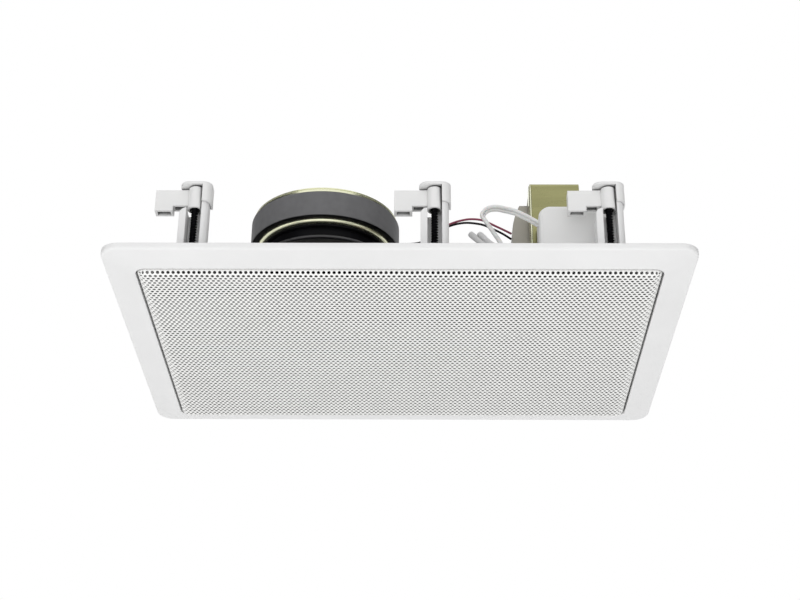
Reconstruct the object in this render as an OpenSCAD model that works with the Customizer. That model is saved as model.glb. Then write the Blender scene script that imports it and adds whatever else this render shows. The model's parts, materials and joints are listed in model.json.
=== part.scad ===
// Rectangular ceiling loudspeaker, face down: the perforated grille lies on z = 0
// and everything that hides above the ceiling panel points up.

/* [Front frame] */
// Length of the front frame
frame_w = 400; // [360:1:460]
// Depth of the front frame
frame_d = 280; // [270:1:340]
// Corner radius of the frame's outline
frame_corner_r = 13; // [8:1:18]
// Width of the sloped border along the short sides
border_w = 21.5; // [18:0.5:26]
// Width of the sloped border along the long sides
border_long_w = 19.5; // [18:0.5:26]
// Height of the border's inner edge above the grille face
border_inner_z = 3; // [2:0.5:4]
// Height of the border's outer edge above the grille face
border_outer_z = 7; // [5:0.5:9]
// Height of the rim that bears on the ceiling
ceiling_z = 12; // [11:0.5:14]
// Wall of the moulding
wall = 2.5; // [2:0.1:3.5]
// Height of the skirt's top, above the ceiling's lower face
skirt_top_z = 20; // [19:1:30]
// Set-back of the skirt from the frame's outline
skirt_inset = 14; // [11:0.5:16]
// Thickness of the baffle plate
baffle_t = 3; // [2.5:0.1:4]
// Clear gap all round the grille
grille_gap = 0.7; // [0.5:0.1:1.2]

/* [Grille] */
// Thickness of the perforated sheet
grille_t = 0.6; // [0.5:0.1:1.2]
// Depth of the grille tray
grille_h = 9.5; // [8.5:0.1:9.8]
// Radius of the grille's rolled edge
grille_edge_r = 6.5; // [5:0.1:7]
// Plan radius of the grille's corners
grille_corner_r = 7; // [7:0.1:9]
// Spacing of the holes along a row
hole_pitch = 14; // [12:1:28]
// Diameter of a hole
hole_d = 8; // [5:0.5:10]
// Thickness of the cloth behind the grille
cloth_t = 0.5; // [0.3:0.1:1]

/* [Driver] */
// Gap between the basket's flange and the ledge along the long sides
flange_gap = 2.5; // [2:0.5:6]
// Gap between the basket's flange and the ledge at the left end
flange_end_gap = 1.7; // [1:0.1:12]
// Width of the basket's flange outside the baffle's hole
flange_w = 11; // [10:0.5:12]
// Thickness of the basket's sheet
basket_t = 1.5; // [1:0.1:2]
// Gap between the basket's wide end and the baffle's hole
basket_gap = 2; // [1:0.5:4]
// Radius of the basket's narrow end
basket_narrow_r = 58; // [56:0.5:60]
// Radius of the basket's neck under the magnet
neck_r = 50; // [48:0.5:52]
// Height of the spider's shelf
shelf_z = 62; // [60:0.5:64]
// Height of the plate that the magnet sits on
motor_z = 81.5; // [78:0.5:84]
// Radius of the magnet
magnet_r = 56.7; // [52:0.1:60]
// Thickness of the magnet
magnet_h = 20; // [16:0.5:22]
// Thickness of the front plate
front_plate_t = 3.5; // [3:0.5:6]
// Thickness of the back plate
back_plate_t = 4.5; // [3:0.5:6]
// Radius of the voice coil's former
former_r = 12.9; // [12:0.1:14]
// Width of the surround's half roll
surround_w = 12; // [10:0.5:14]

/* [Clamps] */
// Mean distance of the end clamps' screws in from the frame's short edges
clamp_end_inset = 57.6; // [54:0.1:62]
// Place of a middle clamp's screw along the frame
clamp_mid_x = 24; // [20:0.5:30]
// Distance of the screws' axes in from the frame's long edge
clamp_inset = 23; // [22.5:0.5:25]
// Height at which the post's walls stop
post_wall_z = 50; // [46:0.5:52]
// Width of the post's channel
channel_w = 10; // [9.6:0.1:11]
// Radius of a clamp screw
screw_r = 2.3; // [1.8:0.1:2.5]
// Height of the dog's barrel
barrel_h = 16.7; // [14:0.1:18]
// Radius of the dog's barrel
barrel_r = 5; // [4.4:0.1:5.2]
// Reach of the dog's arm from the screw
arm_reach = 27.9; // [26:0.1:34]
// Thickness of the dog's arm
arm_t = 7.7; // [6:0.1:8.4]
// Length of the clamp pad at the arm's end
pad_l = 12.5; // [10:0.1:16]
// Thickness of the cap's plate
cap_t = 1.9; // [1.5:0.1:4]

/* [Transformer and connection box] */
// Distance of the transformer's middle in from the frame's right edge
trafo_inset_x = 88.8; // [84:0.1:94]
// Distance of the transformer's front face in from the frame's near edge
trafo_inset_y = 65; // [60:0.5:70]
// Thickness of the stack of laminations
stack_t = 35.5; // [30:0.5:38]
// Length of a lamination
lamination_w = 66; // [60:0.5:72]
// Height of a lamination
lamination_h = 55; // [50:0.5:58]
// Height of the transformer's top
trafo_top_z = 101; // [94:0.5:104]
// Thickness of the bracket's strap
bracket_t = 1.5; // [1:0.1:2]
// Length of the connection box
box_w = 50; // [44:0.5:54]
// Depth of the connection box
box_d = 20; // [18:0.5:21]
// Height of the connection box's top
box_top_z = 67; // [60:0.5:70]
// Distance of the box's left side in from the frame's right edge
box_inset_x = 103; // [100:0.5:106]
// Distance of the box's front face in from the frame's near edge
box_inset_y = 41; // [40:0.5:43]
// Radius of the box's upper corners
box_corner_r = 8.4; // [5:0.1:10]

/* [Hidden] */
$fn = 64;
cut = 1;
slit = 0.3;
thin_slit = 0.1;

// Frame: plan sizes and heights
edge_r = 2;
edge_steps = 3;
border_lap = 1.5;
border_slope = (border_outer_z - border_inner_z) / border_w;
opening_w = frame_w - 2 * border_w;
opening_d = frame_d - 2 * border_long_w;
opening_r = grille_corner_r + grille_gap;
skirt_w = frame_w - 2 * skirt_inset;
skirt_d = frame_d - 2 * skirt_inset;
skirt_corner_drop = 3.6;
skirt_r = frame_corner_r - skirt_corner_drop;
skirt_t = 3;
ledge_clear = 0.5;
ledge_z = grille_h + ledge_clear;
ledge_w = 15;
ledge_lap = 3;
ledge_t = 3;
baffle_z = ledge_z + ledge_t;
baffle_top_z = baffle_z + baffle_t;
rib_t = 2;
rib_x_shares = [-0.46, 0.145, 0.46];
rib_y_share = 0.16;

// Clamp posts: screw axis at the local origin, channel open towards -y
side_wall_t = 4.7;
column_w = 4.75;
column_back_y = 5;
column_rib_w = 3;
post_back_y = 9.8;
back_wall_y = 6.8;
wall_rise_x = 0.5;
post_front_y = 6;
clamp_y = frame_d / 2 - clamp_inset;
bore_clear = 0.15;
screw_bore_r = screw_r + bore_clear;
dog_bore_r = screw_r + thin_slit;
boss_h = 2;
boss_top_z = baffle_top_z + boss_h;
head_r = 3.9;
head_h = 2.4;
head_pocket_r = 4.4;
head_slit = 0.2;
cross_l = 4.7;
cross_w = 0.8;
cross_depth = 1.2;
barrel_lift = 1.1;
barrel_z = post_wall_z + barrel_lift;
socket_wall = 1.3;
socket_depth = 9;
cap_gap = 1.3;
cap_z = barrel_z + barrel_h + cap_gap;
column_top_z = cap_z;
cap_seam_z = 55.7;
cap_wall = 1.5;
cap_left = 10.7;
cap_round_r = 6.5;
cap_lip_y = 2.4;
tip_wall = 0.7;
tip_depth = cap_t - tip_wall;
arm_top_drop = 0.4;
web_lift = 3.9;
web_z = barrel_z + web_lift;
pocket_wall = 1.8;
pocket_depth = 9;
clamp_end_x = frame_w / 2 - clamp_end_inset;
clamp_shift = 1.3;
clamp_xs = [clamp_shift - clamp_end_x, clamp_mid_x, clamp_shift + clamp_end_x];
seats = [for (turn = [0, 180], x = clamp_xs) [x, turn]];

// Driver: radii and heights
basket_r = opening_d / 2 - ledge_w - flange_gap;
driver_x = -(opening_w / 2 - ledge_w - flange_end_gap - basket_r);
driver_hole_r = basket_r - flange_w;
driver_collar_r = driver_hole_r + wall;
basket_wide_r = driver_hole_r - basket_gap;
cone_r = driver_hole_r - surround_w;
gasket_t = 1.5;
gasket_inset = 2;
lip_t = 0.5;
lip_w = 1.5;
flange_z = baffle_z - basket_t;
gasket_inner_r = driver_hole_r + slit;
gasket_outer_r = basket_r - gasket_inset;
step_z = 70;
neck_step = 4;
wide_top_z = 24;
window_count = 8;
window_low_z = 29;
window_high_z = 56;
window_low_w = 39;
window_high_w = 25;
driver_screw_count = 4;
driver_screw_turn = 45;
driver_screw_ring_r = driver_hole_r + flange_w / 2;
driver_screw_clear = 0.5;
driver_screw_r = 1.75;
driver_screw_head_r = 3.4;
driver_screw_head_h = 2;
driver_screw_l = 12;
pole_r = 12;
vent_r = 4;
gap_outer_r = 14.3;
gap_lip = 6;
magnet_inner_r = 30;
back_plate_inset = 0.5;
back_plate_r = magnet_r - back_plate_inset;
back_edge_r = 1;
front_plate_inset = 4.5;
front_plate_r = magnet_r - front_plate_inset;
former_t = 0.35;
winding_t = 0.6;
winding_l = 9;
cone_t = 0.8;
cone_neck_z = 58;
cone_steps = 12;
cone_bend = 1.12;
roll_t = 0.8;
spider_t = 0.6;
spider_r = 55.5;
spider_rolls = 5;
spider_steps = 40;
spider_wave = 1.4;
cap_cone_r = 21;
cap_dome_h = 8;
terminal_turn = -45;
rib_run = basket_wide_r - basket_narrow_r;
rib_rise = shelf_z + basket_t - wide_top_z;
rib_lean = atan(rib_run / rib_rise);
terminal_w = 16;
terminal_t = 2;
terminal_h = 14;
terminal_z = 46;
lug_w = 4.8;
lug_t = 0.8;
lug_l = 8;
lug_gap = 9;
terminal_r = basket_wide_r - rib_run * (terminal_z - wide_top_z) / rib_rise;

// Transformer: from its front face and top
trafo_x = frame_w / 2 - trafo_inset_x;
core_y = trafo_inset_y + bracket_t - frame_d / 2;
core_top_z = trafo_top_z - bracket_t;
core_z = core_top_z - lamination_h;
window_w = lamination_w / 6;
window_h = lamination_h * 2 / 3;
bracket_corner_r = 4;
pedestal_drop = 4;
pedestal_z = core_z - pedestal_drop;
foot_l = 12;
foot_hole_r = 1.9;
long_screw_r = 1.75;
long_head_r = 3.4;
long_head_h = 2;
coil_belly = 13;
coil_h = 32;
coil_w = 46;
coil_clear = 0.3;
coil_bow_r = 61;
coil_bow_drop = 10;
coil_bow_z = core_z + lamination_h / 2 - coil_bow_drop;

// Connection box
box_left_x = frame_w / 2 - box_inset_x;
box_front_y = box_inset_y - frame_d / 2;
box_wall = 2;
box_z = baffle_top_z;
box_edge_r = 3;
base_t = 2;
entry_r = 6.5;
entry_z = 40;
port_r = 3.2;
port_inset = 7;
port_y = box_front_y + port_inset;
port_z = 50;
box_boss_h = 7;
box_edge_share = 0.3;
box_screw_shares = [0.25, 0.75];
box_screw_r = 1.7;
box_screw_head_r = 3.5;
base_screw_x = 19.5;
block_w = 30;
block_d = 11;
block_h = 16;
wire_hole_r = 2.7;
wire_holes = 3;

// Leads: radii and hand-laid routes
lead_r = 0.8;
twin_r = 1.3;
twin_pitch = 2.5;
lead_sides = 8;
// Points of the supply side are measured from the frame's near right corner
supply_route = [
    [-100, 48, 50], [-104, 48, 51.6], [-108.5, 50, 56.3], [-114, 54, 63.2], [-120, 58, 70],
    [-127, 60, 74.8], [-134, 61, 76.4], [-138.7, 61, 75.1], [-141.2, 60, 71.6], [-140.8, 59, 67],
    [-138, 58.2, 61], [-134, 57.6, 53.5], [-130.2, 57.3, 46], [-128.4, 57.4, 38], [-128, 57.6, 33],
    [-127.7, 57.6, 28]
];
tail_routes = [
    [
        [-127.7, 56.6, 28.5], [-128.4, 54.6, 24], [-131.5, 51, 23], [-134, 50, 27.5],
        [-135.8, 49.95, 33.6], [-138.8, 50.2, 37.6]
    ],
    [
        [-127.7, 58.6, 28.5], [-126, 57.6, 23.5], [-122.5, 53.5, 22], [-123.5, 50.2, 26.5],
        [-127.3, 49.7, 33.8], [-130.7, 50, 37.5]
    ]
];
primary_routes = [
    [
        [-117, 90, 52], [-121, 84, 45], [-125, 74, 36], [-131, 63, 30], [-133.5, 58, 27.5],
        [-134.7, 53.5, 29.5], [-135.8, 51.75, 33.6], [-138.8, 52, 37.6]
    ],
    [
        [-117, 84, 50], [-119.5, 78, 42], [-122, 68, 34], [-121.5, 60, 30], [-123, 54, 30],
        [-127.3, 51.5, 33.8], [-130.7, 51.8, 37.5]
    ]
];
crimp_tips = [[-149.4, 52, 52], [-143.8, 52, 51.6]];
crimp_feet = [[-137.6, 51, 36], [-129.3, 50.8, 36]];
// Each point of a driver lead: share of the way from lug to coil, and its offset along y and z
red_shares = [
    [0, 0, 0], [0.03, -1.6, 0.3], [0.09, -3.4, 0.2], [0.16, -4.8, -0.4], [0.23, -5.8, -0.2],
    [0.3, -6.6, 3.2], [0.39, -7.2, 8.6], [0.505, -7.2, 12.2], [0.615, -6.6, 13.7],
    [0.712, -6.1, 13.1], [0.797, -5.6, 11], [0.895, -4.1, 6.2], [0.962, -1.7, 2.4], [1, 0, 0]
];
black_shares = [
    [0, 0, 0], [0.033, -1.6, -0.6], [0.1, -2.8, -1.4], [0.19, -3.4, -2], [0.27, -4, -1.2],
    [0.34, -4.8, 2.6], [0.426, -5.8, 8], [0.539, -6.2, 11.6], [0.64, -6, 13.2],
    [0.73, -5.5, 12.6], [0.809, -5, 10.6], [0.899, -3.5, 6.2], [0.961, -1.5, 2.2], [1, 0, 0]
];
lug_lift = 1.4;
lug_tips = [for (side = [1, -1]) lug_tip(side)];
lead_end_y = 18;
lead_end_zs = [69, 64];
coil_bow_x = trafo_x - stack_t / 2 - coil_belly + coil_bow_r;
coil_ends = [
    for (k = [0, 1])
        let (rise = lead_end_zs[k] - coil_bow_z)
        [
            coil_bow_x - sqrt(coil_bow_r * coil_bow_r - rise * rise) - lead_r / 2,
            core_y + lead_end_y - k * lead_r,
            lead_end_zs[k]
        ]
];
crimp_tip_r = 2;
crimp_foot_r = 2.8;
crimp_socket_r = 2.2;
crimp_socket_share = 0.3;
crimp_foot_share = 0.45;

// Small helpers

function unit(v) = v / norm(v);

function arc(cx, cy, r, from, to, steps) =
    [for (i = [0 : steps]) let (a = from + (to - from) * i / steps) [cx + r * cos(a), cy + r * sin(a)]];

// End of a solder lug, where a driver lead starts
function lug_tip(side) =
    let (
        out = terminal_t + lug_l,
        up = terminal_h / 2,
        r = terminal_r + out * cos(rib_lean) - up * sin(rib_lean),
        y = side * lug_gap / 2,
        z = terminal_z + out * sin(rib_lean) + up * cos(rib_lean)
    )
    [
        driver_x + r * cos(terminal_turn) - y * sin(terminal_turn),
        r * sin(terminal_turn) + y * cos(terminal_turn),
        z + lug_lift
    ];

function between(start, end, shares) =
    [for (p = shares) start + p[0] * (end - start) + [0, p[1], p[2]]];

// A rectangle with round corners, as a flat outline
module round_rect(w, d, r) {
    square([w - 2 * r, d], center = true);
    square([w, d - 2 * r], center = true);
    for (x = [-1, 1], y = [-1, 1])
        translate([x * (w / 2 - r), y * (d / 2 - r)])
            circle(r);
}

// A block with round upright edges, from one height to another
module block(w, d, r, from, to) {
    translate([0, 0, from])
        linear_extrude(to - from)
            round_rect(w, d, r);
}

// Discs at the corners of a block, for a hull to wrap
module corner_discs(w, d, r, from, to) {
    for (x = [-1, 1], y = [-1, 1])
        translate([x * (w / 2 - r), y * (d / 2 - r), from])
            cylinder(r = r, h = to - from, $fn = 32);
}

// A round tube swept along a route that never runs along y
module lead(route, r) {
    last = len(route) - 1;
    points = [
        for (i = [0 : last])
            let (
                t = unit(route[min(i + 1, last)] - route[max(i - 1, 0)]),
                u = unit(cross([0, 1, 0], t)),
                v = cross(t, u)
            )
            for (k = [0 : lead_sides - 1])
                route[i] + r * (u * cos(k * 360 / lead_sides) + v * sin(k * 360 / lead_sides))
    ];
    faces = [
        [for (k = [0 : lead_sides - 1]) k],
        [for (k = [lead_sides - 1 : -1 : 0]) last * lead_sides + k],
        for (i = [0 : last - 1], k = [0 : lead_sides - 1])
            let (a = i * lead_sides + k, b = i * lead_sides + (k + 1) % lead_sides)
            [b, a, a + lead_sides, b + lead_sides]
    ];
    polyhedron(points, faces, convexity = 6);
}

// Front frame

// The sloped border as one solid, with a rounded outer edge
module border_form() {
    hull() {
        corner_discs(opening_w - 2 * border_lap, opening_d - 2 * border_lap, opening_r,
            border_inner_z - border_lap * border_slope, ceiling_z);
        for (i = [0 : edge_steps]) {
            a = 90 * i / edge_steps;
            inset = edge_r * (1 - sin(a));
            corner_discs(frame_w - 2 * inset, frame_d - 2 * inset, frame_corner_r - inset,
                border_outer_z + edge_r * (1 - cos(a)), ceiling_z);
        }
    }
}

// Plan of the post's column, grown by a margin, with its flat inner side on x = 0
module column_outline(grow) {
    intersection() {
        union() {
            circle(column_w + grow);
            square([column_w + grow, column_back_y + grow]);
        }
        translate([0, -column_w - grow])
            square([column_w + grow, column_w + column_back_y + 2 * grow]);
    }
}

// One clamp post: side wall, back wall and the column that carries the cap
module post() {
    half = channel_w / 2;
    translate([-half - side_wall_t, -post_front_y, ledge_z]) {
        cube([side_wall_t, post_front_y + post_back_y, post_wall_z - side_wall_t - ledge_z]);
        translate([side_wall_t, 0, post_wall_z - side_wall_t - ledge_z])
            rotate([-90, 0, 0])
                intersection() {
                    cylinder(r = side_wall_t, h = post_front_y + post_back_y);
                    translate([-side_wall_t, -side_wall_t, 0])
                        cube([side_wall_t, side_wall_t, post_front_y + post_back_y]);
                }
    }
    translate([-half, back_wall_y, ledge_z])
        cube([channel_w, post_back_y - back_wall_y, post_wall_z - ledge_z]);
    translate([wall_rise_x, back_wall_y, ledge_z])
        cube([half + column_rib_w - wall_rise_x, post_back_y - back_wall_y, column_top_z - ledge_z]);
    translate([half, 0, ledge_z]) {
        cube([column_rib_w, post_back_y, column_top_z - ledge_z]);
        linear_extrude(column_top_z - ledge_z)
            column_outline(0);
    }
    translate([-half, -post_front_y, ledge_z])
        cube([channel_w, post_front_y + back_wall_y, boss_top_z - ledge_z]);
}

// The channel, the round seat of the barrel, the screw's bore and the pocket for its head
module post_cuts() {
    half = channel_w / 2;
    translate([-half, -post_front_y - skirt_t - cut, boss_top_z])
        cube([channel_w, post_front_y + skirt_t + cut + back_wall_y, column_top_z]);
    translate([0, 0, post_wall_z])
        cylinder(r = barrel_r + slit, h = column_top_z);
    translate([0, 0, ledge_z - cut])
        cylinder(r = screw_bore_r, h = column_top_z);
    translate([0, 0, ledge_z - cut])
        cylinder(r = head_pocket_r, h = cut + head_h + head_slit);
}

// Puts its children at the screw axis of a clamp
module at_clamp(seat) {
    translate([seat[0], seat[1] == 0 ? -clamp_y : clamp_y, 0])
        rotate([0, 0, seat[1]])
            children();
}

module front_frame() {
    color("whitesmoke")
    difference() {
        union() {
            difference() {
                border_form();
                difference() {
                    intersection() {
                        translate([0, 0, wall])
                            border_form();
                        block(frame_w - 2 * wall, frame_d - 2 * wall, frame_corner_r - wall,
                            0, ceiling_z + cut);
                    }
                    block(skirt_w, skirt_d, skirt_r, -cut, ceiling_z + 2 * cut);
                }
                block(opening_w, opening_d, opening_r, -cut, ceiling_z + cut);
            }
            difference() {
                block(skirt_w, skirt_d, skirt_r, ledge_z, skirt_top_z);
                block(skirt_w - 2 * skirt_t, skirt_d - 2 * skirt_t, skirt_r - skirt_t,
                    baffle_z, skirt_top_z + cut);
                block(opening_w - 2 * ledge_w, opening_d - 2 * ledge_w, opening_r,
                    ledge_z - cut, baffle_z + cut);
            }
            block(opening_w - 2 * ledge_w + 2 * ledge_lap, opening_d - 2 * ledge_w + 2 * ledge_lap,
                opening_r, baffle_z, baffle_top_z);
            for (share = rib_x_shares)
                translate([opening_w * share, -skirt_d / 2 + skirt_t / 2, baffle_z])
                    cube([rib_t, skirt_d - skirt_t, skirt_top_z - baffle_z]);
            translate([opening_w * rib_x_shares[1], opening_d * rib_y_share, baffle_z])
                cube([opening_w * (rib_x_shares[2] - rib_x_shares[1]), rib_t, skirt_top_z - baffle_z]);
            translate([driver_x, 0, baffle_z])
                cylinder(r = driver_collar_r, h = skirt_top_z - baffle_z, $fn = 96);
            for (k = [0 : driver_screw_count - 1])
                translate([driver_x, 0, 0])
                    rotate([0, 0, driver_screw_turn + k * 360 / driver_screw_count])
                        translate([driver_screw_ring_r, 0, baffle_top_z - baffle_t / 2])
                            cylinder(r = driver_screw_r + wall, h = driver_screw_l);
            for (seat = seats)
                at_clamp(seat)
                    post();
            trafo_pedestals();
        }
        translate([driver_x, 0, ledge_z - cut])
            cylinder(r = driver_hole_r, h = skirt_top_z, $fn = 96);
        for (k = [0 : driver_screw_count - 1])
            translate([driver_x, 0, 0])
                rotate([0, 0, driver_screw_turn + k * 360 / driver_screw_count])
                    translate([driver_screw_ring_r, 0, ledge_z - cut])
                        cylinder(r = driver_screw_r, h = driver_screw_l + cut);
        for (seat = seats)
            at_clamp(seat)
                post_cuts();
        trafo_screw_holes();
        box_screw_places()
            translate([0, 0, baffle_z - cut])
                cylinder(r = long_screw_r + slit, h = baffle_t + 2 * cut);
    }
}

// Grille

// Section of the rolled edge: x runs outwards from the corner's centre
module grille_section() {
    c = grille_corner_r - grille_edge_r;
    inner = grille_edge_r - grille_t;
    polygon(concat(
        [[grille_corner_r, grille_h]],
        arc(c, grille_edge_r, grille_edge_r, 0, -90, 10),
        arc(c, grille_edge_r, inner, -90, 0, 10),
        [[grille_corner_r - grille_t, grille_h]]
    ));
}

module grille() {
    w = opening_w - 2 * grille_gap;
    d = opening_d - 2 * grille_gap;
    flat_w = w - 2 * grille_edge_r;
    flat_d = d - 2 * grille_edge_r;
    row_gap = hole_pitch * sqrt(3) / 2;
    rows = floor((flat_d / 2 - hole_d / 2 - grille_t) / row_gap);
    columns = floor((flat_w / 2 - hole_d - grille_t) / hole_pitch);
    color("gainsboro") {
        difference() {
            block(flat_w, flat_d, grille_corner_r - grille_edge_r, 0, grille_t);
            for (row = [-rows : rows])
                for (column = [-columns : columns])
                    translate([hole_pitch * (column + (row % 2 == 0 ? 0 : 0.5)), row_gap * row, -cut])
                        cylinder(r = hole_d / 2, h = grille_t + 2 * cut, $fn = 24);
        }
        for (side = [0, 180]) {
            rotate([0, 0, side])
                translate([w / 2 - grille_corner_r, d / 2 - grille_corner_r, 0])
                    rotate([90, 0, 0])
                        linear_extrude(d - 2 * grille_corner_r)
                            grille_section();
            rotate([0, 0, side + 90])
                translate([d / 2 - grille_corner_r, w / 2 - grille_corner_r, 0])
                    rotate([90, 0, 0])
                        linear_extrude(w - 2 * grille_corner_r)
                            grille_section();
        }
        for (x = [-1, 1], y = [-1, 1])
            translate([x * (w / 2 - grille_corner_r), y * (d / 2 - grille_corner_r), 0])
                rotate([0, 0, atan2(y, x) - 45])
                    rotate_extrude(angle = 90)
                        grille_section();
    }
}

module grille_cloth() {
    margin = grille_edge_r + grille_t;
    color("darkslategray")
        block(opening_w - 2 * grille_gap - 2 * margin, opening_d - 2 * grille_gap - 2 * margin, grille_t,
            grille_t, grille_t + cloth_t);
}

// Driver

module on_driver() {
    translate([driver_x, 0, 0])
        children();
}

// Sheet section of the basket, from flange to neck
module basket_section() {
    t = basket_t;
    step_r = neck_r - neck_step;
    polygon([
        [basket_wide_r - t, flange_z], [basket_r, flange_z], [basket_r, flange_z + t],
        [basket_wide_r, flange_z + t], [basket_wide_r, wide_top_z], [basket_narrow_r, shelf_z + t],
        [neck_r, shelf_z + t], [neck_r, step_z], [step_r, step_z], [step_r, motor_z],
        [gap_outer_r + gap_lip, motor_z], [gap_outer_r + gap_lip, motor_z - t], [step_r - t, motor_z - t],
        [step_r - t, step_z - t], [neck_r - t, step_z - t], [neck_r - t, shelf_z],
        [basket_narrow_r - t, shelf_z], [basket_wide_r - t, wide_top_z - t / 2]
    ]);
}

module basket() {
    color("black")
    on_driver()
        difference() {
            rotate_extrude($fn = 96)
                basket_section();
            for (k = [0 : window_count - 1])
                rotate([0, 0, (k + 0.5) * 360 / window_count])
                    translate([neck_r - basket_t, 0, 0])
                        rotate([90, 0, 90])
                            linear_extrude(basket_r - neck_r)
                                polygon([
                                    [-window_low_w / 2, window_low_z], [window_low_w / 2, window_low_z],
                                    [window_high_w / 2, window_high_z], [-window_high_w / 2, window_high_z]
                                ]);
            for (k = [0 : driver_screw_count - 1])
                rotate([0, 0, driver_screw_turn + k * 360 / driver_screw_count])
                    translate([driver_screw_ring_r, 0, flange_z - cut])
                        cylinder(r = driver_screw_r + driver_screw_clear, h = basket_t + 2 * cut);
        }
}

module basket_gasket() {
    color("dimgray")
    on_driver()
        difference() {
            translate([0, 0, flange_z - lip_t - gasket_t])
                cylinder(r = gasket_outer_r, h = gasket_t, $fn = 96);
            translate([0, 0, flange_z - lip_t - gasket_t - cut])
                cylinder(r = gasket_inner_r, h = gasket_t + 2 * cut, $fn = 96);
            for (k = [0 : driver_screw_count - 1])
                rotate([0, 0, driver_screw_turn + k * 360 / driver_screw_count])
                    translate([driver_screw_ring_r, 0, flange_z - lip_t - gasket_t - cut])
                        cylinder(r = driver_screw_head_r + slit, h = gasket_t + 2 * cut);
        }
}

module front_plate() {
    color("khaki")
    on_driver()
        translate([0, 0, motor_z])
            difference() {
                cylinder(r = front_plate_r, h = front_plate_t, $fn = 96);
                translate([0, 0, -cut])
                    cylinder(r = gap_outer_r, h = front_plate_t + 2 * cut);
            }
}

module magnet() {
    color("dimgray")
    on_driver()
        translate([0, 0, motor_z + front_plate_t])
            difference() {
                cylinder(r = magnet_r, h = magnet_h, $fn = 96);
                translate([0, 0, -cut])
                    cylinder(r = magnet_inner_r, h = magnet_h + 2 * cut);
            }
}

// Back plate with its pole and vent, in one piece
module yoke() {
    low = motor_z + front_plate_t + magnet_h;
    top = low + back_plate_t;
    color("khaki")
    on_driver()
        rotate_extrude($fn = 96)
            polygon(concat(
                [[vent_r, motor_z], [pole_r, motor_z], [pole_r, low], [back_plate_r, low]],
                arc(back_plate_r - back_edge_r, top - back_edge_r, back_edge_r, 0, 90, 5),
                [[vent_r, top]]
            ));
}

function cone_z(r) =
    flange_z + (cone_neck_z - flange_z) * pow((cone_r - r) / (cone_r - former_r), cone_bend);

module cone() {
    radii = [for (i = [0 : cone_steps]) former_r + (cone_r - former_r) * i / cone_steps];
    color("black")
    on_driver()
        rotate_extrude($fn = 96)
            polygon(concat(
                [for (r = radii) [r, cone_z(r)]],
                [for (i = [cone_steps : -1 : 0]) [radii[i], cone_z(radii[i]) - cone_t]]
            ));
}

// Half-roll surround with the lip that the gasket clamps
module surround() {
    mid = (cone_r + driver_hole_r) / 2;
    z = flange_z - lip_t;
    half = surround_w / 2;
    lip_r = driver_hole_r + lip_w;
    color("darkslategray")
    on_driver()
        rotate_extrude($fn = 96)
            polygon(concat(
                [[lip_r, flange_z], [lip_r, z]],
                arc(mid, z, half, 0, -180, 14),
                arc(mid, z, half - roll_t, -180, 0, 14),
                [[driver_hole_r - roll_t, flange_z]]
            ));
}

module dust_cap() {
    z = cone_z(cap_cone_r) - cone_t - slit;
    dome_r = (cap_cone_r * cap_cone_r + cap_dome_h * cap_dome_h) / (2 * cap_dome_h);
    span = asin(cap_cone_r / dome_r);
    color("black")
    on_driver()
        rotate_extrude($fn = 48)
            polygon(concat(
                arc(0, z - cap_dome_h + dome_r, dome_r, -90, -90 + span, 8),
                arc(0, z - cap_dome_h + dome_r, dome_r - cone_t, -90 + span, -90, 8)
            ));
}

// Former tube with its winding in the magnet's gap
module voice_coil() {
    gap_mid_z = motor_z + front_plate_t / 2;
    inner = former_r - former_t;
    color("peru")
    on_driver()
        rotate_extrude()
            polygon([
                [inner, cone_neck_z - cone_t], [former_r, cone_neck_z - cone_t],
                [former_r, gap_mid_z - winding_l / 2], [former_r + winding_t, gap_mid_z - winding_l / 2],
                [former_r + winding_t, gap_mid_z + winding_l / 2], [inner, gap_mid_z + winding_l / 2]
            ]);
}

module spider() {
    inner = former_r + slit;
    z = shelf_z - spider_wave - 2 * slit;
    color("tan")
    on_driver()
        rotate_extrude()
            polygon(concat(
                [for (i = [0 : spider_steps])
                    [inner + (spider_r - inner) * i / spider_steps,
                        z + spider_wave * sin(360 * spider_rolls * i / spider_steps)]],
                [for (i = [spider_steps : -1 : 0])
                    [inner + (spider_r - inner) * i / spider_steps,
                        z - spider_t + spider_wave * sin(360 * spider_rolls * i / spider_steps)]]
            ));
}

// Board with two solder lugs, riveted to a rib of the basket
module terminal_strip() {
    color("sienna")
    on_driver()
        rotate([0, 0, terminal_turn])
            translate([terminal_r, 0, terminal_z])
                rotate([0, -rib_lean, 0]) {
                translate([0, -terminal_w / 2, 0])
                    cube([terminal_t, terminal_w, terminal_h]);
                for (side = [-1, 1])
                    translate([terminal_t, side * lug_gap / 2 - lug_w / 2, terminal_h / 2])
                        cube([lug_l, lug_w, lug_t]);
            }
}

module driver_screws() {
    color("dimgray")
    on_driver()
        for (k = [0 : driver_screw_count - 1])
            rotate([0, 0, driver_screw_turn + k * 360 / driver_screw_count])
                translate([driver_screw_ring_r, 0, flange_z - lip_t - driver_screw_head_h]) {
                    cylinder(r = driver_screw_head_r, h = driver_screw_head_h);
                    cylinder(r = driver_screw_r, h = driver_screw_head_h + driver_screw_l - cut);
                }
}

// Clamps

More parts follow.
